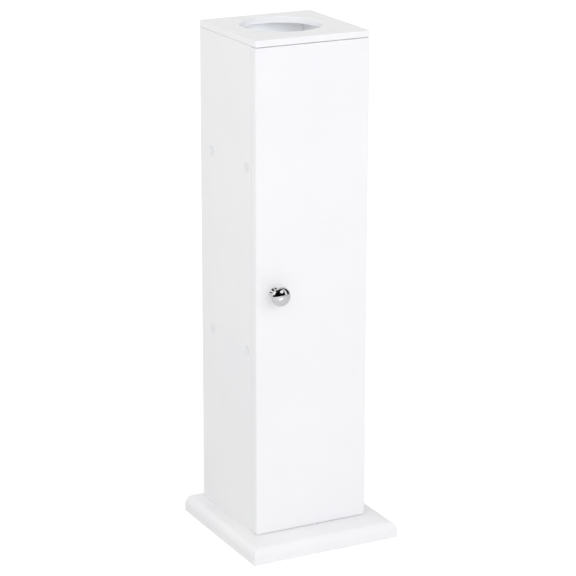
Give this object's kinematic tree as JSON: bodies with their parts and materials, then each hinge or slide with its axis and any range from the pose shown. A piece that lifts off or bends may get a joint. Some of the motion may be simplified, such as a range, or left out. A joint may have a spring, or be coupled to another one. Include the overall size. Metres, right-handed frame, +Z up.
{
  "type": "toilet roll storage cabinet",
  "caption": "Tall narrow storage cabinet on a plinth base, with shelves behind one hinged door and a round opening in its lid for dropping rolls in.",
  "frame": {"origin": "centre of the underside of the base, on the floor", "axes": "+Z up, the door faces -Y, the hinges are on the +X side"},
  "size_m": [0.211, 0.211, 0.674],
  "materials": {
    "painted_board": "satin white paint",
    "hardboard": "white faced hardboard",
    "white_plastic": "moulded, matt",
    "chrome": "polished",
    "nickel": "nickel-plated steel",
    "zinc": "bright zinc-plated steel",
    "beech": "raw beech",
    "ferrite": "sintered ferrite"
  },
  "bodies": {
    "cabinet": {"base_plate": "painted_board", "side_panel_left": "painted_board", "side_panel_right": "painted_board", "back_panel": "hardboard", "top_panel": "painted_board", "shelf_lower": "painted_board", "shelf_upper": "painted_board", "corner_block_left": "white_plastic", "corner_block_right": "white_plastic", "shelf_screws_left": "zinc", "shelf_screws_right": "zinc", "cover_caps_left": "white_plastic", "cover_caps_right": "white_plastic", "base_screws": "zinc", "base_dowels": "beech", "top_dowels": "beech", "block_screws": "zinc", "back_panel_pins": "zinc", "hinge_frame_leaf_lower": "nickel", "hinge_frame_leaf_upper": "nickel", "hinge_pin_lower": "nickel", "hinge_pin_upper": "nickel", "hinge_frame_screws": "nickel", "catch_magnet": "ferrite"},
    "door": {"door_panel": "painted_board", "hinge_door_leaf_lower": "nickel", "hinge_door_leaf_upper": "nickel", "hinge_door_screws": "nickel", "door_knob": "chrome", "knob_screw": "zinc", "catch_strike": "nickel"}
  },
  "joints": [
    {"name": "door_hinge", "type": "hinge", "parent": "cabinet", "child": "door", "pos_m": [0.0828, -0.04725, 0.3425], "axis": [0, 0, 1], "range_deg": [0, 195]}
  ]
}
